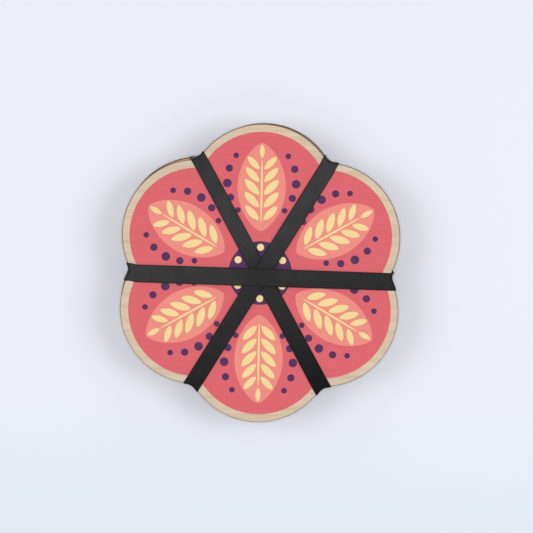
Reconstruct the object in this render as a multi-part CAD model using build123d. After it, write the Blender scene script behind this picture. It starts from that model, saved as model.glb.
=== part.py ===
from build123d import *
import math
import os

# Flower press: two petal-shaped plywood boards, a stack of loose cards and blotters between them, and
# elastic straps round the whole stack that hold it shut. Millimetres, +Z up. The origin is on the surface
# that the press lies on, under the middle of the boards. A petal points along +Y and a pair of notches
# lies along X.

# Straps: closed loops of flat elastic, each laid across the ones before it
STRAP_COUNT = 3
STRAP_WIDTH = 10.0
STRAP_THICKNESS = 0.8
LAST_STRAP_SLIP = -2.3  # the strap put on last has slipped sideways on the upper board, and leans
SEAM_LENGTH = 12.0  # lap where the two ends of a strap are sewn together
SEAM_DISTANCE = 52.0  # from the middle of the press to the near end of the lap

# Board outline, seen from above
PETAL_COUNT = 2 * STRAP_COUNT
PETAL_RADIUS = 45.0
PETAL_CENTRE_DISTANCE = 44.4
NOTCH_RADIUS = 5.0
BOARD_THICKNESS = 4.0
BOARD_EDGE_ROUNDING = 0.3

# Loose sheets: a card, then two blotters and a card for each chamber that takes flowers
CHAMBER_COUNT = 5
CARD_THICKNESS = 2.4
BLOTTER_THICKNESS = 0.5
SHEET_INSET = 0.5  # how far a sheet's edge stays behind the edge of the boards
SHEET_DRIFT = 0.25  # how far a loose sheet has slid sideways
TOP_CARD_TURN = -1.4  # degrees that the uppermost card has turned in the stack
TOP_CARD_SLIDE = 1.2  # and how far it has slid along +Y

# Clearances
STRAP_FACE_GAP = 0.1  # between a strap and the face of a board
STRAP_EDGE_GAP = 0.3  # between a strap and the edges of the stack
STRAP_CROSSING_GAP = 0.05  # between two straps where they cross
STRAP_CROSSING_MARGIN = 1.0  # length that a strap stays level past the straps under it

# Heights that follow from the sizes above
CARD_COUNT = CHAMBER_COUNT + 1
STACK_HEIGHT = CARD_COUNT * CARD_THICKNESS + 2 * CHAMBER_COUNT * BLOTTER_THICKNESS
STRAP_STEP = STRAP_THICKNESS + STRAP_CROSSING_GAP
LAST_LAYER = STRAP_COUNT - 1
BOTTOM_FACE = STRAP_FACE_GAP + LAST_LAYER * STRAP_STEP + STRAP_THICKNESS
STACK_BASE = BOTTOM_FACE + BOARD_THICKNESS
TOP_BOARD_BASE = STACK_BASE + STACK_HEIGHT
TOP_FACE = TOP_BOARD_BASE + BOARD_THICKNESS
TOP_CARD_BASE = TOP_BOARD_BASE - CARD_THICKNESS

# Plan of one notch: it is rounded by a circle that touches the two petals beside it from outside
PETAL_STEP = 360.0 / PETAL_COUNT
NOTCH_CENTRE_DISTANCE = PETAL_CENTRE_DISTANCE * math.cos(math.radians(PETAL_STEP / 2)) + math.sqrt(
    (PETAL_RADIUS + NOTCH_RADIUS) ** 2
    - (PETAL_CENTRE_DISTANCE * math.sin(math.radians(PETAL_STEP / 2))) ** 2
)
NOTCH_DEPTH_DISTANCE = NOTCH_CENTRE_DISTANCE - NOTCH_RADIUS
GOLDEN_ANGLE = 180.0 * (3.0 - math.sqrt(5.0))


def polar(distance, degrees):
    """Point in the plan at a distance and a direction from the middle."""
    return Vector(distance, 0, 0).rotate(Axis.Z, degrees)


def flower_face(grow):
    """Six-petalled outline, moved outwards by grow all round, as one face."""
    petal_radius = PETAL_RADIUS + grow
    notch_radius = NOTCH_RADIUS - grow
    touch = petal_radius / (petal_radius + notch_radius)
    edges = []
    for petal in range(PETAL_COUNT):
        direction = 90.0 + petal * PETAL_STEP
        centre = polar(PETAL_CENTRE_DISTANCE, direction)
        next_centre = polar(PETAL_CENTRE_DISTANCE, direction + PETAL_STEP)
        notch_before = polar(NOTCH_CENTRE_DISTANCE, direction - PETAL_STEP / 2)
        notch_after = polar(NOTCH_CENTRE_DISTANCE, direction + PETAL_STEP / 2)
        start = centre + (notch_before - centre) * touch
        tip = polar(PETAL_CENTRE_DISTANCE + petal_radius, direction)
        end = centre + (notch_after - centre) * touch
        notch_bottom = polar(NOTCH_CENTRE_DISTANCE - notch_radius, direction + PETAL_STEP / 2)
        next_start = next_centre + (notch_after - next_centre) * touch
        edges.append(Edge.make_three_point_arc(start, tip, end))
        edges.append(Edge.make_three_point_arc(end, notch_bottom, next_start))
    return Face(Wire(edges))


def plate(grow, base, thickness):
    """Flat plate of the flower outline."""
    return Pos(0, 0, base) * extrude(flower_face(grow), amount=thickness, dir=(0, 0, 1))


def top_card_place():
    """Where the uppermost card lies: it has turned a little and slid towards +Y."""
    return Pos(0, TOP_CARD_SLIDE, 0) * Rot(0, 0, TOP_CARD_TURN)


def sheet_drift(number):
    """Sideways place of a loose sheet, each slid in a direction of its own."""
    return Pos(polar(SHEET_DRIFT, number * GOLDEN_ANGLE))


def board(base):
    """Plywood board with both of its edges slightly rounded."""
    blank = plate(0.0, base, BOARD_THICKNESS)
    rims = blank.edges().group_by(Axis.Z)
    return fillet(rims[0] + rims[-1], BOARD_EDGE_ROUNDING)


def sheets():
    """Every loose sheet from the bottom of the stack upwards, by its name."""
    order = [("card_1", CARD_THICKNESS)]
    for chamber in range(1, CHAMBER_COUNT + 1):
        order.append((f"blotter_{2 * chamber - 1}", BLOTTER_THICKNESS))
        order.append((f"blotter_{2 * chamber}", BLOTTER_THICKNESS))
        order.append((f"card_{chamber + 1}", CARD_THICKNESS))
    stack = {}
    base = STACK_BASE
    for number, (name, thickness) in enumerate(order):
        place = top_card_place() if name == f"card_{CARD_COUNT}" else sheet_drift(number)
        stack[name] = place * plate(-SHEET_INSET, base, thickness)
        base += thickness
    return stack


def wrap(grow):
    """Column that follows the edges of the stack at a distance: the boards, and the card that sticks out."""
    column = plate(grow, 0.0, BOTTOM_FACE + TOP_FACE)
    card_column = top_card_place() * plate(grow - SHEET_INSET, 0.0, BOTTOM_FACE + TOP_FACE)
    return column + card_column


def strap_profile(clear, layer, slip, lap):
    """Side view of a strap's inner or outer skin, clear of the boards, over the straps of lower layers."""
    crossing = math.radians(180.0 / STRAP_COUNT)
    level = (STRAP_WIDTH / 2 + abs(slip)) / math.tan(crossing) + STRAP_WIDTH / 2 / math.sin(crossing)
    level += STRAP_CROSSING_MARGIN
    foot = NOTCH_DEPTH_DISTANCE
    far = PETAL_CENTRE_DISTANCE + PETAL_RADIUS + STRAP_WIDTH
    rise = layer * STRAP_STEP

    def height(along):
        return clear + rise * min(1.0, (foot - along) / (foot - level))

    half = [(level, height(level)), (foot, clear), (far, clear)]
    seam_end = SEAM_DISTANCE + SEAM_LENGTH
    seam = [
        (SEAM_DISTANCE, height(SEAM_DISTANCE)),
        (SEAM_DISTANCE, height(SEAM_DISTANCE) + lap),
        (seam_end, height(seam_end) + lap),
        (seam_end, height(seam_end)),
    ]
    half_with_seam = half[:1] + (seam if lap else []) + half[1:]
    upper = [(-u, TOP_FACE + h) for u, h in reversed(half)] + [(u, TOP_FACE + h) for u, h in half]
    lower = [(u, BOTTOM_FACE - h) for u, h in reversed(half_with_seam)]
    lower += [(-u, BOTTOM_FACE - h) for u, h in half]
    return make_face(Plane.XZ * Polyline(*upper, *lower, close=True))


def strap_lean(slip):
    """Bar of the strap's width that is centred underneath and leans over to the slip on the upper board."""
    half = STRAP_WIDTH / 2
    reach = PETAL_CENTRE_DISTANCE + PETAL_RADIUS + STRAP_WIDTH
    right = [(half, 0.0), (half, BOTTOM_FACE), (half + slip, TOP_FACE), (half + slip, BOTTOM_FACE + TOP_FACE)]
    left = [(across - STRAP_WIDTH, height) for across, height in reversed(right)]
    return extrude(make_face(Plane.YZ * Polyline(*right, *left, close=True)), amount=reach, both=True)


def strap(layer):
    """Closed loop of elastic over the stack along one pair of notches, with a sewn lap underneath."""
    slip = LAST_STRAP_SLIP if layer == LAST_LAYER else 0.0
    outer_face = strap_profile(STRAP_FACE_GAP + STRAP_THICKNESS, layer, slip, STRAP_THICKNESS)
    inner_face = strap_profile(STRAP_FACE_GAP, layer, slip, 0.0)
    spread = STRAP_WIDTH + abs(slip)
    outer_bar = extrude(outer_face, amount=spread, both=True) & strap_lean(slip)
    inner_bar = extrude(inner_face, amount=spread, both=True)
    turn = Rot(0, 0, (LAST_LAYER - layer) * 180.0 / STRAP_COUNT)
    outside = (turn * outer_bar) & wrap(STRAP_EDGE_GAP + STRAP_THICKNESS)
    inside = (turn * inner_bar) & wrap(STRAP_EDGE_GAP)
    return outside - inside


os.makedirs("parts", exist_ok=True)
export_step(board(BOTTOM_FACE), "parts/bottom_board.step")
export_step(board(TOP_BOARD_BASE), "parts/top_board.step")
for sheet_name, sheet in sheets().items():
    export_step(sheet, f"parts/{sheet_name}.step")
for strap_layer in range(STRAP_COUNT):
    export_step(strap(strap_layer), f"parts/elastic_strap_{strap_layer + 1}.step")
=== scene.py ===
# %% [markdown]
# # A petal-shaped flower press
# The press is two plywood boards with a stack of corrugated cards and blotting papers between them, held
# shut by three crossed elastic straps. The solids come in first as a fixed frame: every piece made below is
# placed from that frame, so nothing has to be fitted by eye. The solids stay selected after loading, and an
# operator acts on all that is selected, so everything is deselected before the first step.

# %% Load the frame
from math import atan2, ceil, cos, hypot, pi, radians, sin, sqrt, tau

import bpy
from mathutils import Matrix, Vector


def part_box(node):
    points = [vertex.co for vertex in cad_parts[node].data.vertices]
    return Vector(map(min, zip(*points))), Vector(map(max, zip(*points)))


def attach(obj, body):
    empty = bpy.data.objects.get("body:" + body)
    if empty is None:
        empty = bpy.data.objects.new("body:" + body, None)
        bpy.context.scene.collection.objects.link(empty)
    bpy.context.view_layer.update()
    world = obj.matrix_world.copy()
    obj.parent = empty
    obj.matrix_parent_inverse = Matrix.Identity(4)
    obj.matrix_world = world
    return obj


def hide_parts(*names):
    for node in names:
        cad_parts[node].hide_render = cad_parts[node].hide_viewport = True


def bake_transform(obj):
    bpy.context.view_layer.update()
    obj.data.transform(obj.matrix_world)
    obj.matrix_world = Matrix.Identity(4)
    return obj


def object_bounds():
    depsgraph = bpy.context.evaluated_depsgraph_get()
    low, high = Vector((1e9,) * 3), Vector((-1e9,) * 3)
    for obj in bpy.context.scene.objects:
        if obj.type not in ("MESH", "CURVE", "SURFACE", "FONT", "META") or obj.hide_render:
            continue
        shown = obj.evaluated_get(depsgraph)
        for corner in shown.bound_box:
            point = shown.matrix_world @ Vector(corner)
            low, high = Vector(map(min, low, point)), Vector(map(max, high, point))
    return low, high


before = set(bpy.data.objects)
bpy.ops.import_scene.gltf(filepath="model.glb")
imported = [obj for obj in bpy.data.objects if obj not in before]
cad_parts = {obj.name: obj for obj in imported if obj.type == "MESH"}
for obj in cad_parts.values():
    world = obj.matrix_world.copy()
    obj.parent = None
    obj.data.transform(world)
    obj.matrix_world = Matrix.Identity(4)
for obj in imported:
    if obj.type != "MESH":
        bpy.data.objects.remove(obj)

MM = 0.001
cad_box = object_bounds()
bpy.ops.object.select_all(action="DESELECT")
print("solids in the frame:", len(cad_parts))

# %% [markdown]
# ## The heights and the outline
# Heights are read from the solids. The outline is six petal circles round the middle, with a small circle
# that rounds each notch between two petals. Written as a distance from the middle in a given direction, the
# same formula serves the boards, the print, the cards and the straps that bend into the notches.

# %% Heights and outline
PETAL_COUNT = 6
PETAL_STEP = tau / PETAL_COUNT
PETAL_RADIUS = 45.0 * MM
PETAL_CENTRE = 44.4 * MM
NOTCH_RADIUS = 5.0 * MM
NOTCH_CENTRE = PETAL_CENTRE * cos(PETAL_STEP / 2) + sqrt(
    (PETAL_RADIUS + NOTCH_RADIUS) ** 2 - (PETAL_CENTRE * sin(PETAL_STEP / 2)) ** 2
)
SHEET_INSET = 0.5 * MM
TOP_CARD_TURN = radians(-1.4)

bottom_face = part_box("bottom_board")[0].z
stack_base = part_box("bottom_board")[1].z
top_board_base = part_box("top_board")[0].z
top_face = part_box("top_board")[1].z
top_card_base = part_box("card_6")[0].z


def notch_edge_angle(grow):
    """Angle from the middle of a notch to where its rounding meets the petal."""
    share = (PETAL_RADIUS + grow) / (PETAL_RADIUS + NOTCH_RADIUS)
    along = PETAL_CENTRE * cos(PETAL_STEP / 2)
    across = PETAL_CENTRE * sin(PETAL_STEP / 2)
    return atan2(across * (1 - share), along + (NOTCH_CENTRE - along) * share)


def flower_distance(direction, grow=0.0):
    """Distance from the middle to the outline, moved outwards by grow. A notch lies at angle 0."""
    from_notch = (direction + PETAL_STEP / 2) % PETAL_STEP - PETAL_STEP / 2
    if abs(from_notch) < notch_edge_angle(grow):
        rounding = NOTCH_RADIUS - grow
        across = NOTCH_CENTRE * sin(from_notch)
        return NOTCH_CENTRE * cos(from_notch) - sqrt(rounding**2 - across**2)
    from_petal = PETAL_STEP / 2 - abs(from_notch)
    across = PETAL_CENTRE * sin(from_petal)
    return PETAL_CENTRE * cos(from_petal) + sqrt((PETAL_RADIUS + grow) ** 2 - across**2)


def sheet_place(node):
    """How a loose sheet lies: its middle, and the turn of the card under the top board."""
    low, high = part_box(node)
    turn = TOP_CARD_TURN if node == "card_6" else 0.0
    middle = Vector(((low.x + high.x) / 2, (low.y + high.y) / 2, 0.0))
    return Matrix.Translation(middle) @ Matrix.Rotation(turn, 4, "Z")


print("notch bottom at", round(flower_distance(0.0) / MM, 2), "mm, petal tip at",
      round(flower_distance(pi / 2) / MM, 2), "mm")

# %% [markdown]
# ## Camera, floor and light
# The photograph looks straight down. One pixel covers 0.6 mm on the top board, the board's middle lies a
# little left of and below the middle of the picture, and the board is turned slightly clockwise, so the
# camera is turned the other way. A long lens keeps the sides of the stack hidden, as in the photograph.

# %% Camera
PHOTO_PIXELS = 533
PIXEL = 0.5990 * MM
BOARD_MIDDLE_PIXEL = (260.1, 273.0)
BOARD_TURN = radians(1.5)
CAMERA_HEIGHT = 1.2
SENSOR_WIDTH_MM = 36.0

right = (PHOTO_PIXELS / 2 - BOARD_MIDDLE_PIXEL[0]) * PIXEL
up = (BOARD_MIDDLE_PIXEL[1] - PHOTO_PIXELS / 2) * PIXEL
aside = Matrix.Rotation(BOARD_TURN, 3, "Z") @ Vector((right, up, 0.0))
bpy.ops.object.camera_add(
    location=(aside.x, aside.y, top_face + CAMERA_HEIGHT), rotation=(0.0, 0.0, BOARD_TURN)
)
camera = bpy.context.active_object
camera.data.sensor_width = SENSOR_WIDTH_MM
camera.data.lens = SENSOR_WIDTH_MM * CAMERA_HEIGHT / (PHOTO_PIXELS * PIXEL)
bpy.context.scene.camera = camera
print("lens", round(camera.data.lens, 1), "mm")

# %% [markdown]
# Every finish in this lesson is a small network of shader nodes. A few helpers keep such networks short: one
# adds a node and feeds it, and the others wrap the nodes that are used most. Colours are written in the 0 to
# 255 numbers of a screen and made linear for the shaders.

# %% Node helpers


def colour(red, green, blue):
    """Screen colour, 0 to 255, as linear red, green, blue and alpha."""
    linear = []
    for value in (red, green, blue):
        share = value / 255.0
        linear.append(share / 12.92 if share <= 0.04045 else ((share + 0.055) / 1.055) ** 2.4)
    return (*linear, 1.0)


def put(mat, kind, inputs, **settings):
    """Add a node: settings are its own properties, inputs are values or the sockets that feed it."""
    node = mat.node_tree.nodes.new(kind)
    for name, value in settings.items():
        setattr(node, name, value)
    for key, value in inputs.items():
        if isinstance(value, bpy.types.NodeSocket):
            mat.node_tree.links.new(value, node.inputs[key])
        else:
            node.inputs[key].default_value = value
    return node


def blank_material(name, roughness, specular):
    """New material with one shader, whose steady numbers are set on its sockets."""
    mat = bpy.data.materials.new(name)
    mat.use_nodes = True
    shader = mat.node_tree.nodes["Principled BSDF"]
    shader.inputs["Roughness"].default_value = roughness
    shader.inputs["Specular IOR Level"].default_value = specular
    return mat, shader


def paint(mat, shader, tone):
    """Feed a colour socket to a shader."""
    mat.node_tree.links.new(tone, shader.inputs["Base Color"])


def calc(mat, operation, *values):
    """One step of arithmetic, as a value socket."""
    return put(mat, "ShaderNodeMath", dict(enumerate(values)), operation=operation).outputs["Value"]


def diagonal(mat, across, along):
    """Straight distance over two steps at right angles, as a value socket."""
    squares = [calc(mat, "POWER", step, 2.0) for step in (across, along)]
    return calc(mat, "SQRT", calc(mat, "ADD", *squares))


def spread(mat, value, low, high):
    """A value stretched so that low becomes 0 and high becomes 1, and held to that range."""
    node = put(mat, "ShaderNodeMapRange", {"Value": value, "From Min": low, "From Max": high})
    return node.outputs["Result"]


def parts(mat, coordinates):
    """The three numbers of the piece's Object, Normal or UV coordinates."""
    place = put(mat, "ShaderNodeTexCoord", {})
    split = put(mat, "ShaderNodeSeparateXYZ", {"Vector": place.outputs[coordinates]})
    return split.outputs["X"], split.outputs["Y"], split.outputs["Z"]


def ramp(mat, factor, *stops):
    """Colour ramp node through (place, colour) stops, as its colour socket."""
    node = put(mat, "ShaderNodeValToRGB", {"Fac": factor})
    elements = node.color_ramp.elements
    while len(elements) < len(stops):
        elements.new(0.5)
    for element, (place, value) in zip(elements, stops):
        element.position = place
        element.color = value
    return node.outputs["Color"]


print("middle grey as light:", round(colour(128, 128, 128)[0], 3))

# %% [markdown]
# The floor is pale paper with a band of painted shade, a little darker and cooler towards the viewer, and a
# plane is enough for it. Far from the press the soft boxes no longer reach it, so there the camera is shown
# the plain paper colour: only what is seen changes, and the light that falls on the press stays as it is.

# %% Floor
FLOOR_SIZE = 8.0
FLOOR_PALE = colour(233, 236, 245)
FLOOR_SHADED = colour(224, 231, 241)
FLOOR_SHADE_Y = -0.19
FLOOR_SHADE_REACH = 0.12
LIT_RADIUS = 0.24
PLAIN_RADIUS = 0.60


def seen(owner):
    """1 for what is looked at, also in a mirror, and 0 for light on its way to a piece."""
    path = put(owner, "ShaderNodeLightPath", {})
    mirrored = calc(owner, "MAXIMUM", path.outputs["Is Camera Ray"], path.outputs["Is Glossy Ray"])
    return calc(owner, "MAXIMUM", mirrored, path.outputs["Is Transmission Ray"])


def show_plain(owner, share, lit, kind, output):
    """Let a share of what is seen be the plain paper colour in place of the lit shader."""
    plain = put(owner, kind, {"Color": FLOOR_PALE, "Strength": 1.0})
    blend = put(owner, "ShaderNodeMixShader", {"Fac": share, 1: lit, 2: plain.outputs[0]})
    owner.node_tree.links.new(blend.outputs["Shader"], owner.node_tree.nodes[output].inputs["Surface"])


bpy.ops.mesh.primitive_plane_add(size=FLOOR_SIZE, location=(0.0, 0.0, cad_box[0][2]))
floor = bpy.context.active_object
floor.name = "floor"
paper, paper_shader = blank_material("floor_paper", roughness=0.9, specular=0.0)
across, depth, _ = parts(paper, "Object")
# Painted shade: the paper is darker and cooler within a band across the floor towards the viewer.
from_floor_shade = calc(paper, "ABSOLUTE", calc(paper, "SUBTRACT", depth, FLOOR_SHADE_Y))
floor_unshaded = spread(paper, from_floor_shade, 0.0, FLOOR_SHADE_REACH)
paint(paper, paper_shader, ramp(paper, floor_unshaded, (0.0, FLOOR_SHADED), (1.0, FLOOR_PALE)))
unlit = spread(paper, diagonal(paper, across, depth), LIT_RADIUS, PLAIN_RADIUS)
far = calc(paper, "MULTIPLY", unlit, seen(paper))
show_plain(paper, far, paper_shader.outputs["BSDF"], "ShaderNodeEmission", "Material Output")
floor.data.materials.append(paper)
print("floor at height", round(floor.location.z / MM, 2), "mm")

# %% [markdown]
# The light is soft and even. One soft box hangs above the press and two more stand at its right and left, so
# the floor is a little darker on those two sides, and the world fills the rest. Above the horizon the camera
# sees the plain paper colour again, so that the floor has no visible end.

# %% Light
WORLD_STRENGTH = 0.38
WORLD_WHITE = colour(255, 255, 255)
SOFT_BOXES = (
    {"name": "soft_box_over", "place": (0.0, 0.0, 1.60), "size": 0.2, "watts": 6.5},
    {"name": "soft_box_right", "place": (0.80, 0.06, 1.20), "size": 0.7, "watts": 5.9},
    {"name": "soft_box_left", "place": (-0.80, 0.04, 1.20), "size": 0.7, "watts": 4.9},
)


def soft_box(name, place, size, watts):
    """Square area light that points at the middle of the press."""
    bpy.ops.object.light_add(type="AREA", location=place)
    light = bpy.context.active_object
    light.name = name
    light.data.size = size
    light.data.energy = watts
    light.rotation_euler = (-Vector(place)).to_track_quat("-Z", "Y").to_euler()


for box in SOFT_BOXES:
    soft_box(**box)

world = bpy.data.worlds.new("studio")
bpy.context.scene.world = world
world.use_nodes = True
background = world.node_tree.nodes["Background"]
background.inputs["Color"].default_value = WORLD_WHITE
background.inputs["Strength"].default_value = WORLD_STRENGTH
show_plain(world, seen(world), background.outputs["Background"], "ShaderNodeBackground", "World Output")
bpy.context.scene.view_settings.view_transform = "Standard"

# %% [markdown]
# ## Patterns
# Wood, ink, yarn and paper are uneven, so each finish shades its colour with noise on the piece's own
# coordinates. An image could do the same, but a worked-out pattern stays sharp close up. The laser has
# marked the rims, so one helper works out how far a point lies from the middle of its petal.

# %% Pattern helpers
MIX_FACTOR, MIX_FIRST, MIX_SECOND = 0, 6, 7
MIX_RESULT = 2


def grey(value):
    """Shade of grey as a linear colour, for masks."""
    return (value, value, value, 1.0)


def mix(mat, factor, first, second, blend="MIX"):
    """Mix two colours by a factor, as a colour socket; the node's sockets go by number."""
    inputs = {MIX_FACTOR: factor, MIX_FIRST: first, MIX_SECOND: second}
    return put(mat, "ShaderNodeMix", inputs, data_type="RGBA", blend_type=blend).outputs[MIX_RESULT]


def shaded(mat, tone, *masks):
    """A colour darkened by each mask in turn."""
    for mask in masks:
        tone = mix(mat, 1.0, tone, mask, "MULTIPLY")
    return tone


def noise(mat, scale, detail=4.0, roughness=0.55):
    """Noise on the piece's own coordinates, scaled along each axis, as a value socket."""
    place = put(mat, "ShaderNodeTexCoord", {})
    mapping = put(mat, "ShaderNodeMapping", {"Vector": place.outputs["Object"], "Scale": scale})
    inputs = {"Vector": mapping.outputs["Vector"], "Scale": 1.0, "Detail": detail, "Roughness": roughness}
    return put(mat, "ShaderNodeTexNoise", inputs).outputs["Fac"]


def mottle(mat, scale, dark, low, high, **texture):
    """Mask from noise: dark where the noise is below low, white where it is above high."""
    return ramp(mat, noise(mat, scale, **texture), (low, grey(dark)), (high, grey(1.0)))


def wood_grain(mat):
    """Noise drawn out along X, as wood grain is."""
    return noise(mat, (22.0, 480.0, 480.0), detail=6.0, roughness=0.6)


def bump(mat, shader, height, strength, distance):
    """Roughen the surface with a height pattern."""
    node = put(mat, "ShaderNodeBump", {"Height": height, "Strength": strength, "Distance": distance})
    mat.node_tree.links.new(node.outputs["Normal"], shader.inputs["Normal"])


def petal_depth(mat, coordinates):
    """Distance from the middle of the nearest petal, worked out in the shader."""
    x, y, _ = parts(mat, coordinates)
    distance = diagonal(mat, x, y)
    turned = calc(mat, "SUBTRACT", calc(mat, "ARCTAN2", y, x), PETAL_STEP / 2)
    folded = calc(mat, "WRAP", turned, PETAL_STEP / 2, -PETAL_STEP / 2)
    outwards = calc(mat, "MULTIPLY", distance, calc(mat, "COSINE", folded))
    along = calc(mat, "SUBTRACT", outwards, PETAL_CENTRE)
    across = calc(mat, "MULTIPLY", distance, calc(mat, "SINE", folded))
    return diagonal(mat, along, across)


print("petal radius", round(PETAL_RADIUS / MM, 1), "mm")

# %% [markdown]
# ## Plywood
# Both boards are laser-cut plywood: a pale veneer on the faces, and edges scorched brown by the laser, with
# the plies showing as bands. The solids already have the right shape, so they only get a finish. One
# material tells faces from edges by the direction that the surface points in. A scorched line is painted at
# the slightly rounded rim for the thin dark line round the boards, with painted shade that makes it darker
# towards the top.

# %% Plywood finish
VENEER_LIGHT = colour(217, 198, 174)
VENEER_DARK = colour(200, 178, 151)
SCORCH_LIGHT = colour(138, 98, 64)
SCORCH_MIDDLE = colour(108, 73, 46)
SCORCH_DARK = colour(70, 43, 27)
RIM_LINE = colour(80, 64, 51)
RIM_SCORCH = 0.9 * MM
RIM_ROUNDING = 0.2 * MM
RIM_HARDNESS = 1.2
RIM_SHADE_LEAST = 0.5


def veneer(mat, grain):
    """Pale face of the board, with grain, pores and a scorched line at its rim, darker towards the top with
    painted shade.
    """
    base = ramp(mat, grain, (0.32, VENEER_DARK), (0.66, VENEER_LIGHT))
    clouds = mottle(mat, (30.0, 45.0, 45.0), dark=0.94, low=0.3, high=0.7, detail=2.0)
    pores = mottle(mat, (150.0, 5200.0, 5200.0), dark=0.82, low=0.26, high=0.40, detail=2.0, roughness=0.5)
    plain = shaded(mat, base, clouds, pores)
    depth = petal_depth(mat, "Object")
    rim_line = spread(mat, depth, PETAL_RADIUS - RIM_SCORCH, PETAL_RADIUS - RIM_ROUNDING)
    # Painted shade: the scorched line is darker towards the top of the board.
    _, y, _ = parts(mat, "Object")
    upwards = spread(mat, y, -PETAL_RADIUS, PETAL_RADIUS)
    rim_shade = calc(mat, "MULTIPLY_ADD", upwards, 1.0 - RIM_SHADE_LEAST, RIM_SHADE_LEAST)
    scorch_and_shade = calc(mat, "MULTIPLY", calc(mat, "POWER", rim_line, RIM_HARDNESS), rim_shade)
    return mix(mat, scorch_and_shade, plain, RIM_LINE)


def scorched_plies(mat, base, thickness):
    """Edge of the board: three plies with dark glue lines, unevenly charred."""
    _, _, height = parts(mat, "Object")
    light, middle, dark = SCORCH_LIGHT, SCORCH_MIDDLE, SCORCH_DARK
    plies = ramp(
        mat, spread(mat, height, base, base + thickness),
        (0.00, dark), (0.06, light), (0.30, light), (0.33, dark), (0.37, middle),
        (0.64, middle), (0.67, dark), (0.70, light), (0.94, light), (1.00, dark),
    )
    char = mottle(mat, (900.0, 900.0, 60.0), dark=0.62, low=0.35, high=0.65, detail=3.0)
    return shaded(mat, plies, char)


def plywood(name, base, thickness):
    """Veneer on the faces and scorched plies on the edges."""
    mat, shader = blank_material(name, roughness=0.62, specular=0.3)
    grain = wood_grain(mat)
    _, _, facing = parts(mat, "Normal")
    is_face = ramp(mat, calc(mat, "ABSOLUTE", facing), (0.80, grey(0.0)), (0.99, grey(1.0)))
    tone = mix(mat, is_face, scorched_plies(mat, base, thickness), veneer(mat, grain))
    paint(mat, shader, tone)
    bump(mat, shader, grain, strength=0.25, distance=0.05 * MM)
    return mat


def wear(node, mat):
    """Give a solid of the frame a finish in place of its plain one."""
    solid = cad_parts[node]
    solid.data.materials.clear()
    solid.data.materials.append(mat)
    print(node, "wears", mat.name)


wear("bottom_board", plywood("plywood_bottom", bottom_face, stack_base - bottom_face))
wear("top_board", plywood("plywood_top", top_board_base, top_face - top_board_base))

# %% [markdown]
# ## Helpers for modelling
# Flat flower shapes start as a circle of many corners, whose corners are moved out to the outline and which
# is then extruded to its thickness. Modifiers are applied at once, so that a finished piece is a plain mesh
# that sits at the origin.

# %% Modelling helpers
OUTLINE_CORNERS = 720
MOTIF_CORNERS = 96
BEVEL_SEGMENTS = 2
SHARP_ANGLE = radians(60.0)


def only(piece):
    """Select one piece and nothing else."""
    bpy.ops.object.select_all(action="DESELECT")
    piece.select_set(True)
    bpy.context.view_layer.objects.active = piece


def thicken(piece, height):
    """Extrude a flat shape upwards and turn its faces outwards."""
    only(piece)
    bpy.ops.object.mode_set(mode="EDIT")
    bpy.ops.mesh.select_all(action="SELECT")
    bpy.ops.mesh.extrude_region_move(TRANSFORM_OT_translate={"value": (0.0, 0.0, height)})
    bpy.ops.mesh.select_all(action="SELECT")
    bpy.ops.mesh.normals_make_consistent(inside=False)
    bpy.ops.object.mode_set(mode="OBJECT")


def modify(piece, kind, **settings):
    """Add a modifier, set it and apply it."""
    only(piece)
    bpy.ops.object.modifier_add(type=kind)
    modifier = piece.modifiers[-1]
    for name, value in settings.items():
        setattr(modifier, name, value)
    bpy.ops.object.modifier_apply(modifier=modifier.name)


def round_edges(piece, width):
    """Bevel the sharp edges of a piece."""
    modify(piece, "BEVEL", width=width, segments=BEVEL_SEGMENTS, limit_method="ANGLE",
           angle_limit=SHARP_ANGLE)


def join(name, pieces):
    """Make one piece of several."""
    bpy.ops.object.select_all(action="DESELECT")
    for piece in pieces:
        piece.select_set(True)
    bpy.context.view_layer.objects.active = pieces[0]
    bpy.ops.object.join()
    pieces[0].name = name
    pieces[0].data.name = name
    return pieces[0]


def dress(piece, mat, body, slot, *nodes):
    """Finish a piece: its material, the body it rides on and the solids that it stands for."""
    piece.data.materials.clear()
    piece.data.materials.append(mat)
    if nodes:
        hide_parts(*nodes)
    if body:
        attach(piece, body)
    print(piece.name, len(piece.data.polygons), "faces")


def disc(radius=1.0, corners=MOTIF_CORNERS):
    """Flat round face about the origin."""
    bpy.ops.mesh.primitive_circle_add(vertices=corners, radius=radius, fill_type="NGON")
    return bpy.context.active_object


def flower_plate(name, grow, base, height, ripple=None):
    """Flat plate of the flower outline; ripple adds a small unevenness along its edge."""
    plate = disc(corners=OUTLINE_CORNERS)
    plate.name = name
    for corner in plate.data.vertices:
        direction = atan2(corner.co.y, corner.co.x)
        distance = flower_distance(direction, grow)
        if ripple:
            distance += ripple(direction)
        corner.co = (distance * cos(direction), distance * sin(direction), base)
    thicken(plate, height)
    return plate


print("corners on the outline:", OUTLINE_CORNERS)

# %% [markdown]
# ## The print
# The top board carries a print: a coral field that leaves a border of bare wood, with simple plant motifs in
# salmon, cream and purple. The inks are matt and thin, so a little of the grain shows through each.

# %% Inks
INKS = {
    "coral": (217, 99, 107),
    "salmon": (235, 140, 128),
    "purple": (80, 44, 86),
    "cream": (241, 214, 152),
}


def ink(name, shade):
    """Matt ink that lets a little of the grain through."""
    mat, shader = blank_material(name, roughness=0.6, specular=0.15)
    grain = wood_grain(mat)
    veins = ramp(mat, grain, (0.34, grey(0.95)), (0.62, grey(1.0)))
    dust = mottle(mat, (2600.0, 2600.0, 2600.0), dark=0.965, low=0.32, high=0.60, detail=2.0)
    paint(mat, shader, shaded(mat, colour(*shade), veins, dust))
    bump(mat, shader, grain, strength=0.18, distance=0.04 * MM)
    return mat


inks = {name: ink(f"ink_{name}", shade) for name, shade in INKS.items()}
print("inks:", list(inks))

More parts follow.
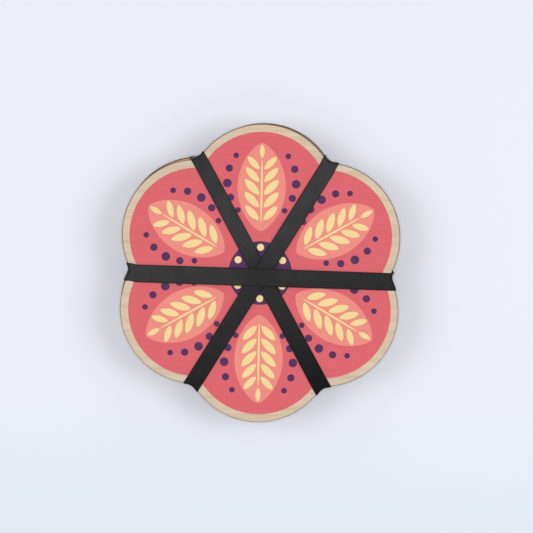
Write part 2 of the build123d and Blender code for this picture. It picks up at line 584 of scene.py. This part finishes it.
# %% [markdown]
# The motifs are built from two flat shapes: a round spot, and a pointed leaf made from a circle. A shape is
# modelled once and stamped at all its places, the same in each petal.

# %% Motif shapes
PRINT_TURN = radians(0.45)
PETAL_AXES = [PRINT_TURN + petal * PETAL_STEP for petal in range(PETAL_COUNT)]


def almond(length, width, pinch=0.45):
    """Pointed leaf shape that starts at the origin and points along +Y."""
    leaf = disc()
    for corner in leaf.data.vertices:
        side, along = corner.co.x, corner.co.y
        corner.co.x = width / 2 * side * abs(side) ** pinch
        corner.co.y = length / 2 * (1.0 + along)
    return leaf


def copy_of(piece, place):
    """Copy of a piece, with its own mesh, moved to a place."""
    only(piece)
    bpy.ops.object.duplicate()
    copy = bpy.context.active_object
    copy.data.transform(place)
    return copy


def stamp(shape, places):
    """Copies of a shape at the given places; the pattern is removed."""
    copies = [copy_of(shape, place) for place in places]
    bpy.data.objects.remove(shape)
    return copies


def at(across, along, turn=0.0):
    """Place in one petal: across and along its axis, turned clockwise."""
    return Matrix.Translation((across, along, 0.0)) @ Matrix.Rotation(-turn, 4, "Z")


def round_all_petals(places):
    """The same places in each petal."""
    return [Matrix.Rotation(axis, 4, "Z") @ place for axis in PETAL_AXES for place in places]


print("petals to print on:", len(PETAL_AXES))

# %% [markdown]
# Ink lies on the wood. It could be painted into the material of the board, but a film of a few hundredths of
# a millimetre for each colour has crisp edges at any distance. The films lie on each other as they are
# printed: the field, then a pointed panel and berries on each petal, then a sprig on the panel.

# %% Print the films
FIELD_INSET = 4.8 * MM
FILM = 0.025 * MM
PANEL_LENGTH = 53.0 * MM
PANEL_WIDTH = 29.0 * MM
PANEL_START = 25.0 * MM
STEM_START = 30.0 * MM
STEM_END = 68.0 * MM
STEM_WIDTH = 1.2 * MM
LEAF_PAIRS = 5
LEAF_SPREAD = radians(44.0)
LEAF_GAP = 0.9 * MM
LEAF_BACK = 2.0 * MM
LEAF_LEAST = 7.0 * MM
LEAF_SWELL = 5.5 * MM
SWELL_START = 0.25 * pi
SWELL_RUN = 0.6 * pi
LEAF_SLIMNESS = 0.36
END_LEAF = (8.0 * MM, 3.0 * MM)
HUB_RADIUS = 19.0 * MM
HUB_SPOT = 2.1 * MM
HUB_SPOT_PLACE = 15.4 * MM

# Across the petal, along it and radius, in millimetres.
BERRIES = ((14.0, 37.5, 1.7), (18.5, 45.0, 2.2), (20.6, 53.5, 2.6), (19.6, 62.5, 2.2), (15.6, 70.2, 1.7))


def film(name, shapes, layer, mat):
    """Join flat shapes into one ink film on its layer of the print."""
    piece = join(name, shapes)
    piece.data.transform(Matrix.Translation((0.0, 0.0, top_face + layer * FILM)))
    thicken(piece, FILM)
    dress(piece, mat, "top_board", "plywood")


def sprig_shapes():
    """Stem, leaf pairs and end leaf of the sprigs on all petals."""
    stem = almond(STEM_END - STEM_START, STEM_WIDTH, pinch=0.0)
    shapes = stamp(stem, round_all_petals([at(0.0, STEM_START)]))
    for pair in range(LEAF_PAIRS):
        share = (pair + 0.5) / LEAF_PAIRS
        along = STEM_START + share * (STEM_END - STEM_START) - LEAF_BACK
        length = LEAF_LEAST + LEAF_SWELL * sin(SWELL_START + SWELL_RUN * share)
        aside = LEAF_GAP + STEM_WIDTH / 2
        places = [at(aside, along, LEAF_SPREAD), at(-aside, along, -LEAF_SPREAD)]
        shapes += stamp(almond(length, LEAF_SLIMNESS * length), round_all_petals(places))
    shapes += stamp(almond(*END_LEAF), round_all_petals([at(0.0, STEM_END + LEAF_GAP)]))
    shapes += stamp(disc(HUB_SPOT), round_all_petals([at(0.0, HUB_SPOT_PLACE)]))
    return shapes


def berry_shapes():
    """Purple hub under the straps and a row of berries on each side of every panel."""
    shapes = [disc(HUB_RADIUS)]
    for across, along, radius in BERRIES:
        places = [at(across * MM, along * MM), at(-across * MM, along * MM)]
        shapes += stamp(disc(radius * MM), round_all_petals(places))
    return shapes


field = flower_plate("print_field", -FIELD_INSET, top_face, FILM)
field.data.transform(Matrix.Rotation(PRINT_TURN, 4, "Z"))
dress(field, inks["coral"], "top_board", "plywood")
panels = stamp(almond(PANEL_LENGTH, PANEL_WIDTH), round_all_petals([at(0.0, PANEL_START)]))
film("print_panels", panels, 1, inks["salmon"])
film("print_berries", berry_shapes(), 1, inks["purple"])
film("print_sprigs", sprig_shapes(), 2, inks["cream"])

# %% [markdown]
# ## Elastic straps
# Each strap is a flat loop of woven elastic that runs over the board, bends into the notch at either end and
# comes back underneath. A curve with the section of the tape would be quicker, but it could not dip into the
# notch in its middle and keep two ears at its sides. So the tape is made of lengthwise lines, and the rim is
# found for each of them. Woven tape is stiff, so a line follows the mean of the rim near it.

# %% Straps and rim
TAPE_STIFFNESS = 2.6 * MM
RIM_SEARCH = (60.0 * MM, 95.0 * MM)
RIM_HALVINGS = 40

# Pairs of values hold at the back and at the front notch.
STRAPS = [
    {"node": "elastic_strap_1", "turn": radians(120.0), "draws": (0.25, 0.25),
     "widths": (10.4 * MM, 9.1 * MM), "slips": (0.4 * MM, -0.7 * MM)},
    {"node": "elastic_strap_2", "turn": radians(60.0), "draws": (0.25, 0.25),
     "widths": (10.1 * MM, 10.0 * MM), "slips": (-0.3 * MM, -1.5 * MM)},
    {"node": "elastic_strap_3", "turn": 0.0, "draws": (0.35, 0.0),
     "widths": (10.7 * MM, 10.6 * MM), "slips": (-2.1 * MM, -3.3 * MM)},
]


def on_axis(axis, along, across, height=0.0):
    """Point along and across an axis through the middle of the press."""
    x = along * cos(axis) - across * sin(axis)
    y = along * sin(axis) + across * cos(axis)
    return Vector((x, y, height))


def rim(axis, across, place, grow):
    """How far along an axis the outline of a placed plate lies, at a distance across from the axis."""
    inside, outside = RIM_SEARCH
    back = place.inverted()
    for _ in range(RIM_HALVINGS):
        along = (inside + outside) / 2
        local = back @ on_axis(axis, along, across)
        if local.xy.length < flower_distance(atan2(local.y, local.x), grow):
            inside = along
        else:
            outside = along
    return inside


def soft_rim(axis, across, place, grow):
    """The rim as the tape follows it: averaged over a little of its width."""
    offsets = (-1.0, -0.5, 0.0, 0.5, 1.0)
    near = [rim(axis, across + offset * TAPE_STIFFNESS, place, grow) for offset in offsets]
    return max(near[len(near) // 2], sum(near) / len(near))


flat = Matrix.Identity(4)
print("the tape turns down", round(soft_rim(0.0, 0.0, flat, 0.0) / MM, 2), "mm from the middle")

# %% [markdown]
# One line runs along the top, bends over the rim, goes down the side and returns underneath, as a list of
# stations. A strap lies on those put on before it, so it rises towards the crossing. Where a card sticks out
# of the stack it pushes the line outwards.

# %% Run of one line
STRAP_STEP = 0.85 * MM
FACE_GAP = 0.1 * MM
EDGE_GAP = 0.15 * MM
BEND_RADIUS = 0.5 * MM
LEVEL_LENGTH = 11.0 * MM
SOFT_CORNER = 0.05
RUN_STATIONS = 56
BEND_STATIONS = 5
SIDE_STATIONS = 22


def crossing_rise(layer, along):
    """Rise of a strap towards the crossing, where it lies on the straps before it."""
    foot = NOTCH_CENTRE - NOTCH_RADIUS
    share = max(0.0, (foot - abs(along)) / (foot - LEVEL_LENGTH))
    gap = max(SOFT_CORNER - abs(1.0 - share), 0.0) / SOFT_CORNER
    return layer * STRAP_STEP * (min(1.0, share) - gap * gap * SOFT_CORNER / 4)


def between(knots, value):
    """Straight-line value through (place, value) knots in rising order."""
    for (low, first), (high, second) in zip(knots, knots[1:]):
        if value <= high:
            share = max(0.0, (value - low) / (high - low))
            return first + share * (second - first)
    return knots[-1][1]


def half_loop(layer, rim_top, rim_low, rim_card):
    """Inner skin of half a loop as (along, height), from the top to underneath."""
    over, under = top_face + FACE_GAP, bottom_face - FACE_GAP
    top_end, low_end = rim_top + EDGE_GAP - BEND_RADIUS, rim_low + EDGE_GAP - BEND_RADIUS
    turns = [pi / 2 * step / BEND_STATIONS for step in range(BEND_STATIONS + 1)]
    bend = [(BEND_RADIUS * sin(turn), BEND_RADIUS * (1.0 - cos(turn))) for turn in turns]
    pushed = max(rim_top, rim_low, rim_card)
    side = [
        (bottom_face, rim_low), (stack_base, rim_low), (top_card_base, pushed), (top_board_base, pushed),
        (top_face, rim_top),
    ]
    points = []
    for step in range(RUN_STATIONS):
        along = step / RUN_STATIONS * top_end
        points.append((along, over + crossing_rise(layer, along)))
    points += [(top_end + out, over - drop) for out, drop in bend]
    for step in range(1, SIDE_STATIONS):
        height = over - BEND_RADIUS + step / SIDE_STATIONS * (under - over + 2 * BEND_RADIUS)
        points.append((between(side, height) + EDGE_GAP, height))
    points += [(low_end + out, under + rise) for out, rise in reversed(bend)]
    for step in range(RUN_STATIONS):
        along = (1.0 - (step + 1) / RUN_STATIONS) * low_end
        points.append((along, under - crossing_rise(layer, along)))
    return points


print("each strap adds", round(crossing_rise(1, 0.0) / MM, 2), "mm at the crossing")

# %% [markdown]
# A strap put on by hand does not lie quite straight: its width and its slip differ from notch to notch, and
# down its sides it leans back to its place underneath. So each point gets its own place across the strap.

# %% Lines of a strap
DRAW_LENGTH = 4.5 * MM


def held(value):
    """A number held to the range from 0 to 1."""
    return min(1.0, max(0.0, value))


def along_strap(ends, along):
    """Value at a place along a strap, between those at its two ends."""
    share = 0.5 + 0.5 * along / flower_distance(0.0)
    return ends[0] + (ends[1] - ends[0]) * held(share)


def slip_at(strap, along, height):
    """Slip of a strap at a place along it and a height: none underneath, and less at its ends."""
    near = held((abs(along) - flower_distance(0.0)) / DRAW_LENGTH + 1.0)
    drawn = along_strap(strap["draws"], along) * near * near * (3.0 - 2.0 * near)
    lean = held((height - bottom_face) / (top_face - bottom_face))
    return along_strap(strap["slips"], along) * (1.0 - drawn) * lean


def strap_column(layer, strap, share):
    """One line of the strap's inner skin, as points of the closed loop."""
    card = sheet_place("card_6")
    loop = []
    for end in (1, -1):
        facing = strap["turn"] + (0.0 if end == 1 else pi)
        notch = end * flower_distance(0.0)
        low = end * share * along_strap(strap["widths"], notch)
        high = low + end * slip_at(strap, notch, top_face)
        half = half_loop(
            layer,
            soft_rim(facing, high, flat, 0.0),
            soft_rim(facing, low, flat, 0.0),
            soft_rim(facing, high, card, -SHEET_INSET),
        )
        placed = []
        for reach, height in half:
            along = end * reach
            across = share * along_strap(strap["widths"], along) + slip_at(strap, along, height)
            placed.append(on_axis(strap["turn"], along, across, height))
        loop += placed if end == 1 else placed[::-1][1:]
    return loop


print("stations round a loop:", len(strap_column(0, STRAPS[0], 0.0)))

# %% [markdown]
# The woven finish follows the tape, so it reads the tape's own UV map, which the grid brings along. Cords of
# the weave run lengthwise between the ribs, and each is crossed by short slanting threads, which the bump
# shows close up. A little sheen stands for the fuzz of the yarn. Light is painted into the colour: the tape
# is lighter towards the upper left, with painted shade along its edges and near the crossing. Two numbers on
# the mesh tell where painted shade darkens the start of a bend and where a painted sheen lightens the side
# below it.

# %% Elastic finish
RIB_COUNT = 13
THREAD_PITCH = 0.55 * MM
THREAD_SHIFT = 0.5
THREAD_SLANT = 0.6
ELASTIC_LIT = colour(64, 64, 65)
ELASTIC_LIT_FAR = colour(56, 56, 57)
ELASTIC_SHADED = colour(17, 17, 19)
ELASTIC_SHEEN = colour(126, 126, 131)
LIGHT_REACH = 72.0 * MM
LIGHT_X = -0.3
LIGHT_Y = 0.95
CROSSING_SHADE_RADIUS = 2.0 * MM
CROSSING_SHADE_END = 16.0 * MM


def own_number(mat, name):
    """Number that the mesh holds under a name, as a value socket."""
    return put(mat, "ShaderNodeAttribute", {}, attribute_name=name).outputs["Fac"]


def elastic(name):
    """Charcoal woven tape, with painted light: lighter towards the upper left, painted shade and a painted
    sheen.
    """
    mat, shader = blank_material(name, roughness=0.78, specular=0.12)
    shader.inputs["Sheen Weight"].default_value = 0.04
    shader.inputs["Sheen Roughness"].default_value = 0.4
    # Painted light: the tape is drawn lighter towards the upper left and darker towards the lower right.
    x, y, _ = parts(mat, "Object")
    lit_side = calc(mat, "MULTIPLY_ADD", y, LIGHT_Y, calc(mat, "MULTIPLY", x, LIGHT_X))
    painted_light = spread(mat, lit_side, -LIGHT_REACH, LIGHT_REACH)
    yarn = ramp(mat, painted_light, (0.0, ELASTIC_SHADED), (0.75, ELASTIC_LIT), (1.0, ELASTIC_LIT_FAR))

    along, across, _ = parts(mat, "UV")
    ribs = calc(mat, "MULTIPLY", across, float(RIB_COUNT))
    shift = calc(mat, "MULTIPLY", calc(mat, "FLOOR", ribs), THREAD_SHIFT)
    slant = calc(mat, "MULTIPLY", calc(mat, "FRACT", ribs), THREAD_SLANT)
    threads = calc(mat, "MULTIPLY_ADD", along, 1.0 / THREAD_PITCH, calc(mat, "ADD", shift, slant))
    wave = calc(mat, "SINE", calc(mat, "MULTIPLY", threads, tau))
    crests = spread(mat, wave, -1.0, 1.0)
    woven = ramp(mat, crests, (0.0, grey(0.62)), (0.5, grey(1.0)))
    from_middle = calc(mat, "ABSOLUTE", calc(mat, "SUBTRACT", across, 0.5))
    # Painted shade along both edges of the tape, where it meets the board and the other straps.
    selvedge_shade = ramp(mat, from_middle, (0.41, grey(1.0)), (0.48, grey(0.42)))
    worn = mottle(mat, (90.0, 90.0, 90.0), dark=0.78, low=0.3, high=0.7)
    # Painted shade: darker near the crossing, where the straps lie on each other.
    from_crossing = spread(mat, diagonal(mat, x, y), CROSSING_SHADE_RADIUS, CROSSING_SHADE_END)
    crossing_shade = ramp(mat, from_crossing, (0.0, grey(0.7)), (1.0, grey(1.0)))
    # Painted shade at the start of each bend over an edge.
    bend_shade_mask = ramp(mat, own_number(mat, "bend_shade"), (0.4, grey(1.0)), (0.9, grey(0.28)))
    # Painted sheen: the steep side just below the top bend is drawn pale grey.
    tone = mix(mat, own_number(mat, "side_sheen"), yarn, ELASTIC_SHEEN)
    paint(mat, shader, shaded(mat, tone, woven, selvedge_shade, worn, crossing_shade, bend_shade_mask))
    bump(mat, shader, crests, strength=0.5, distance=0.08 * MM)
    return mat


elastic_finish = elastic("elastic_weave")
print("weave nodes:", len(elastic_finish.node_tree.nodes))

# %% [markdown]
# The tape has lengthwise ribs and thin selvedges. Where it bends over an edge it is drawn thin, with painted
# shade at the start of the bend and a painted sheen on the side below it. All of this follows from the place
# across the tape and from the slope of its line, so a few functions and curves give the numbers for any
# point.

# %% Ribs, painted bend shade and sheen
COLUMNS = 4 * RIB_COUNT
COLUMN_SHARES = [column / COLUMNS - 0.5 for column in range(COLUMNS + 1)]
SELVEDGE = 0.35
SELVEDGE_RIBS = 0.3
RIB_DEPTH = 0.16
# How far below the top the painted sheen reaches, and the slopes that set the painted bend shade and sheen.
SHEEN_FADE = 6.0 * MM
BEND_SHADE_BY_SLOPE = ((0.03, 0.0), (0.10, 1.0), (0.60, 1.0), (0.95, 0.0))
SHEEN_BY_SLOPE = ((0.60, 0.0), (0.95, 1.0))


def rib_weight(share):
    """Thickness of the tape at a place across it, as a share of the full thickness."""
    edge = (0.5 - abs(share)) * RIB_COUNT
    if edge < SELVEDGE_RIBS:
        return SELVEDGE + (1.0 - SELVEDGE) * sqrt(edge / SELVEDGE_RIBS)
    return 1.0 - RIB_DEPTH * (0.5 + 0.5 * cos(tau * share * RIB_COUNT))


def bent(height):
    """How far the tape has turned over the edge at a height: 0 on a face, 1 on a side."""
    return held(min(top_face + FACE_GAP - height, height - bottom_face + FACE_GAP) / BEND_RADIUS)


def slopes(line):
    """How steeply a line runs at each of its stations: 0 on a face, 1 on a side."""
    steps = [there - here for here, there in zip(line, line[1:])]
    steep = [abs(step.z) / step.length for step in steps]
    return [(before + after) / 2 for before, after in zip(steep[:1] + steep, steep + steep[-1:])]


print("columns across the tape:", len(COLUMN_SHARES))

# %% [markdown]
# A flat grid is laid out as the unrolled tape, and each of its points is carried to its place on the loop.
# The ends meet and are merged, and the skin is thickened outwards by the weight that each point was given.
# The UV map is set to real lengths first, so that the weave keeps its scale round the bends.

# %% Wrap the tape
STRAP_THICKNESS = 0.8 * MM
EDGE_THINNING = 0.4
WELD_DISTANCE = 0.001 * MM
SMOOTH_ANGLE = radians(50.0)


def line_lengths(line):
    """Distance along a line up to each of its stations."""
    lengths = [0.0]
    for here, there in zip(line, line[1:]):
        lengths.append(lengths[-1] + (there - here).length)
    return lengths


def measure_tape(piece, columns):
    """Make the UV map true to length, counted backwards in the second half."""
    lengths = [line_lengths(line) for line in columns]
    last = len(columns[0]) - 1
    corners = piece.data.uv_layers.active.data
    for face in piece.data.polygons:
        places = [corners[index].uv for index in face.loop_indices]
        backwards = min(place.x for place in places) > 0.5 - 0.5 / last
        for place in places:
            line = lengths[round(place.y * (len(columns) - 1))]
            place.x = line[round(place.x * last)] - (line[-1] if backwards else 0.0)


def tape(name, columns):
    """Tape from its lengthwise lines: a flat grid carried into place and thickened outwards."""
    stations = len(columns[0])
    bpy.ops.mesh.primitive_grid_add(x_subdivisions=stations - 1, y_subdivisions=len(columns) - 1, size=1.0)
    piece = bpy.context.active_object
    piece.name = name
    piece.data.name = name
    measure_tape(piece, columns)
    group = piece.vertex_groups.new(name="rib")
    steepness = [slopes(line) for line in columns]
    bend_shades, side_sheens = [], []
    for corner in piece.data.vertices:
        station = round((corner.co.x + 0.5) * (stations - 1))
        column = round((corner.co.y + 0.5) * (len(columns) - 1))
        place = columns[column][station]
        thickness = rib_weight(corner.co.y) * (1.0 - EDGE_THINNING * bent(place.z))
        group.add([corner.index], thickness, "REPLACE")
        # Painted shade where a bend starts, and a painted sheen on the steep side near the top.
        slope = steepness[column][station]
        bend_shades.append(between(BEND_SHADE_BY_SLOPE, slope))
        near_top = held(1.0 - abs(top_face - place.z) / SHEEN_FADE)
        side_sheens.append(near_top * between(SHEEN_BY_SLOPE, slope))
        corner.co = place
    for trait, values in (("bend_shade", bend_shades), ("side_sheen", side_sheens)):
        piece.data.attributes.new(trait, "FLOAT", "POINT").data.foreach_set("value", values)
    only(piece)
    bpy.ops.object.mode_set(mode="EDIT")
    bpy.ops.mesh.select_all(action="SELECT")
    bpy.ops.mesh.remove_doubles(threshold=WELD_DISTANCE)
    bpy.ops.object.mode_set(mode="OBJECT")
    modify(piece, "SOLIDIFY", thickness=STRAP_THICKNESS, offset=1.0, vertex_group="rib")
    bpy.ops.object.shade_smooth_by_angle(angle=SMOOTH_ANGLE)
    return piece


for layer, strap in enumerate(STRAPS):
    lines = [strap_column(layer, strap, share) for share in COLUMN_SHARES]
    loop = tape(f"woven_strap_{layer + 1}", lines)
    dress(loop, elastic_finish, None, "elastic", strap["node"])
    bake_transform(loop)

# %% [markdown]
# A loop of elastic is closed by laying one end over the other and sewing through both. The lap lies
# underneath, out of sight, as a short second layer of the same tape. Two rows of zigzag stitches hold it:
# one stitch is modelled as a small rounded rod and copied to every place.

# %% Laps and stitches
LAP_START = 52.0 * MM
LAP_LENGTH = 12.0 * MM
LAP_STATIONS = 16
STITCH_ROWS = (54.5 * MM, 61.5 * MM)
STITCHES = 14
STITCH_RADIUS = 0.17 * MM
STITCH_ROUNDING = 0.7 * STITCH_RADIUS
STITCH_SIDES = 8
STITCH_SPAN = 7.4 * MM
STITCH_SWING = 1.0 * MM
THREAD_LIGHT = colour(24, 24, 26)
THREAD_DARK = colour(14, 14, 16)


def under_skin(layer, along, share, layers):
    """Height of the outside of the tape underneath, after a number of layers."""
    inner = bottom_face - FACE_GAP - crossing_rise(layer, along)
    return inner - layers * STRAP_THICKNESS * rib_weight(share)


def lap_column(layer, strap, share):
    """One line of the lap's inner skin, which lies on the outside of the loop."""
    line = []
    for station in range(LAP_STATIONS + 1):
        along = LAP_START + LAP_LENGTH * (1.0 - station / LAP_STATIONS)
        across = share * strap["widths"][1]
        line.append(on_axis(strap["turn"], along, across, under_skin(layer, along, share, 1)))
    return line


def stitch():
    """Short rounded piece of thread along +Y, about the origin."""
    reach = hypot(STITCH_SPAN / STITCHES, 2 * STITCH_SWING)
    bpy.ops.mesh.primitive_cylinder_add(
        vertices=STITCH_SIDES,
        radius=STITCH_RADIUS,
        depth=reach + 2 * STITCH_RADIUS,
        rotation=(pi / 2, 0.0, 0.0),
    )
    rod = bpy.context.active_object
    bpy.ops.object.transform_apply(location=False, rotation=True, scale=False)
    round_edges(rod, STITCH_ROUNDING)
    bpy.ops.object.shade_smooth_by_angle(angle=SHARP_ANGLE)
    return rod


def stitch_places(layer, strap):
    """Where the zigzag stitches of one lap lie."""
    places = []
    step = STITCH_SPAN / STITCHES
    for row in STITCH_ROWS:
        for number in range(STITCHES):
            across = -STITCH_SPAN / 2 + (number + 0.5) * step
            side = 1.0 if number % 2 else -1.0
            height = under_skin(layer, row, 0.0, 2)
            turn = strap["turn"] - pi / 2 + side * atan2(step, 2 * STITCH_SWING)
            middle = on_axis(strap["turn"], row, across, height)
            places.append(Matrix.Translation(middle) @ Matrix.Rotation(turn, 4, "Z"))
    return places


thread_finish, thread_shader = blank_material("sewing_thread", roughness=0.6, specular=0.4)
fuzz = noise(thread_finish, (3000.0, 3000.0, 3000.0), detail=2.0)
paint(thread_finish, thread_shader, ramp(thread_finish, fuzz, (0.3, THREAD_DARK), (0.7, THREAD_LIGHT)))
for layer, strap in enumerate(STRAPS):
    number = layer + 1
    lap = tape(f"strap_lap_{number}", [lap_column(layer, strap, share) for share in COLUMN_SHARES])
    dress(lap, elastic_finish, "bottom_board", "elastic")
    stitches = join(f"strap_stitches_{number}", stamp(stitch(), stitch_places(layer, strap)))
    dress(stitches, thread_finish, "bottom_board", "elastic")

# %% [markdown]
# ## Corrugated cards
# The cards are brown kraft board, cut with the laser as the boards are: their rim is burnt, and faint lines
# of painted shade mark the flutes inside. The finish reads the rim from the UV map, which keeps each point's
# place on the card, because the cards do not all lie straight in the stack.

# %% Kraft board finish
KRAFT_LIGHT = colour(228, 194, 156)
KRAFT_DARK = colour(206, 168, 130)
KRAFT_BURNT = colour(60, 42, 30)
FLUTE_PITCH = 6.3 * MM
BURN_WIDTH = 0.9 * MM
CHAR_WIDTH = 0.45 * MM


def kraft(name):
    """Brown board with fibres, faint lines of painted shade over the flutes and a rim burnt by the laser."""
    mat, shader = blank_material(name, roughness=0.85, specular=0.2)
    fibres = noise(mat, (700.0, 180.0, 700.0), detail=6.0, roughness=0.7)
    flecks = mottle(mat, (1800.0, 900.0, 1800.0), dark=0.72, low=0.25, high=0.36, detail=2.0)
    base = ramp(mat, fibres, (0.3, KRAFT_DARK), (0.7, KRAFT_LIGHT))
    x, _, _ = parts(mat, "UV")
    # Painted shade: faint dark lines over the flutes.
    wave = calc(mat, "SINE", calc(mat, "MULTIPLY", x, tau / FLUTE_PITCH))
    flute_shade = ramp(mat, spread(mat, wave, -1.0, 1.0), (0.0, grey(0.94)), (1.0, grey(1.0)))
    plain = shaded(mat, base, flecks, flute_shade)
    edge = PETAL_RADIUS - SHEET_INSET
    burn = spread(mat, petal_depth(mat, "UV"), edge - BURN_WIDTH, edge - CHAR_WIDTH)
    uneven = mottle(mat, (400.0, 400.0, 400.0), dark=0.85, low=0.3, high=0.7, detail=3.0)
    burnt = calc(mat, "MULTIPLY", burn, uneven)
    paint(mat, shader, mix(mat, burnt, plain, KRAFT_BURNT))
    bump(mat, shader, fibres, strength=0.3, distance=0.05 * MM)
    return mat


kraft_finish = kraft("kraft_board")
print("burnt rim", round(BURN_WIDTH / MM, 2), "mm wide")

# %% [markdown]
# Each card is two smooth liners with a waved sheet between them. Flutes drawn in the finish would look flat
# at the edge, so they are real: a flat grid is pushed up and down in a wave, thickened, and cut to the
# outline with a Boolean. One card is modelled, and the others are copies laid where their solids lie.

# %% Lay the cards
CARD_COUNT = 6
LINER = 0.3 * MM
MEDIUM = 0.25 * MM
FLUTE_STEPS = 10
FLUTE_BITE = 0.02 * MM
FLUTE_SHELTER = 0.75 * MM
CARD_SPAN = 190.0 * MM


def waved_sheet(thickness):
    """Waved middle of a card, in a square larger than the card, about the height 0."""
    flutes = ceil(CARD_SPAN / FLUTE_PITCH)
    bpy.ops.mesh.primitive_grid_add(
        x_subdivisions=flutes * FLUTE_STEPS, y_subdivisions=1, size=flutes * FLUTE_PITCH
    )
    sheet = bpy.context.active_object
    swing = thickness / 2 - LINER - MEDIUM / 2 + FLUTE_BITE
    for corner in sheet.data.vertices:
        corner.co.z = swing * sin(tau * corner.co.x / FLUTE_PITCH)
    modify(sheet, "SOLIDIFY", thickness=MEDIUM, offset=0.0)
    return sheet


def note_place(sheet, drawn_back):
    """Keep each corner's place in the UV map; a place noted as drawn back from the rim burns less."""
    for corner, spot in zip(sheet.data.loops, sheet.data.uv_layers.active.data):
        place = sheet.data.vertices[corner.vertex_index].co.xy
        spot.uv = place - drawn_back * place.normalized()


def corrugated_card(thickness):
    """Two liners and the waved sheet between them, cut to the outline, about the height 0."""
    cutter = flower_plate("card_cutter", -SHEET_INSET, -thickness / 2 + LINER / 2, thickness - LINER)
    medium = waved_sheet(thickness)
    modify(medium, "BOOLEAN", operation="INTERSECT", object=cutter, solver="EXACT")
    bpy.data.objects.remove(cutter)
    lower_liner = flower_plate("lower_liner", -SHEET_INSET, -thickness / 2, LINER)
    upper_liner = flower_plate("upper_liner", -SHEET_INSET, thickness / 2 - LINER, LINER)
    note_place(lower_liner, 0.0)
    note_place(medium, FLUTE_SHELTER)
    note_place(upper_liner, 0.0)
    return join("corrugated_card", [lower_liner, medium, upper_liner])


def lay_sheet(pattern, node):
    """Copy of a sheet, laid where its solid lies."""
    low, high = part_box(node)
    lift = Matrix.Translation((0.0, 0.0, (low.z + high.z) / 2))
    copy = copy_of(pattern, lift @ sheet_place(node))
    copy.name = f"corrugated_{node}"
    copy.data.name = copy.name
    return copy


card_low, card_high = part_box("card_1")
card_pattern = corrugated_card(card_high.z - card_low.z)
for number in range(1, CARD_COUNT + 1):
    node = f"card_{number}"
    dress(lay_sheet(card_pattern, node), kraft_finish, node, "corrugated_card", node)
bpy.data.objects.remove(card_pattern)

# %% [markdown]
# ## Blotting papers
# Blotting paper is soft and thick, and its cut edge is slightly fuzzy and uneven. Copies of one sheet would
# all have the same edge, so each is made by itself: the flower outline with a ripple of its own along the
# edge, and a rim that is bevelled so that it catches the light softly.

# %% Blotting papers
PAPER_LIGHT = colour(243, 239, 229)
PAPER_DARK = colour(228, 222, 208)
BLOTTER_COUNT = 10
PAPER_BEVEL = 0.12 * MM
RIPPLE = 0.07 * MM
SLOW_WAVES = 17
SLOW_SHIFT = 2.1
SLOW_SHARE = 0.6
QUICK_WAVES = 61
QUICK_SHIFT = 1.3


def blotting(name):
    """Soft unsized paper with loose fibres."""
    mat, shader = blank_material(name, roughness=0.95, specular=0.1)
    fibres = noise(mat, (520.0, 520.0, 520.0), detail=8.0, roughness=0.75)
    specks = mottle(mat, (2400.0, 2400.0, 2400.0), dark=0.85, low=0.22, high=0.32, detail=2.0)
    base = ramp(mat, fibres, (0.3, PAPER_DARK), (0.65, PAPER_LIGHT))
    paint(mat, shader, shaded(mat, base, specks))
    bump(mat, shader, fibres, strength=0.4, distance=0.06 * MM)
    return mat


def edge_ripple(number):
    """Unevenness of one sheet's edge, by direction."""
    def ripple(direction):
        slow = sin(SLOW_WAVES * direction + SLOW_SHIFT * number)
        quick = sin(QUICK_WAVES * direction + QUICK_SHIFT * number)
        return RIPPLE * (SLOW_SHARE * slow + (1.0 - SLOW_SHARE) * quick) - RIPPLE
    return ripple


def blotter(node, number):
    """One blotting paper, laid where its solid lies."""
    low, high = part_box(node)
    sheet = flower_plate(f"paper_{node}", -SHEET_INSET, low.z, high.z - low.z, edge_ripple(number))
    sheet.data.transform(sheet_place(node))
    round_edges(sheet, PAPER_BEVEL)
    bpy.ops.object.shade_smooth_by_angle(angle=SMOOTH_ANGLE)
    return sheet


paper_finish = blotting("blotting_paper")
for number in range(1, BLOTTER_COUNT + 1):
    node = f"blotter_{number}"
    dress(blotter(node, number), paper_finish, node, "blotting_paper", node)
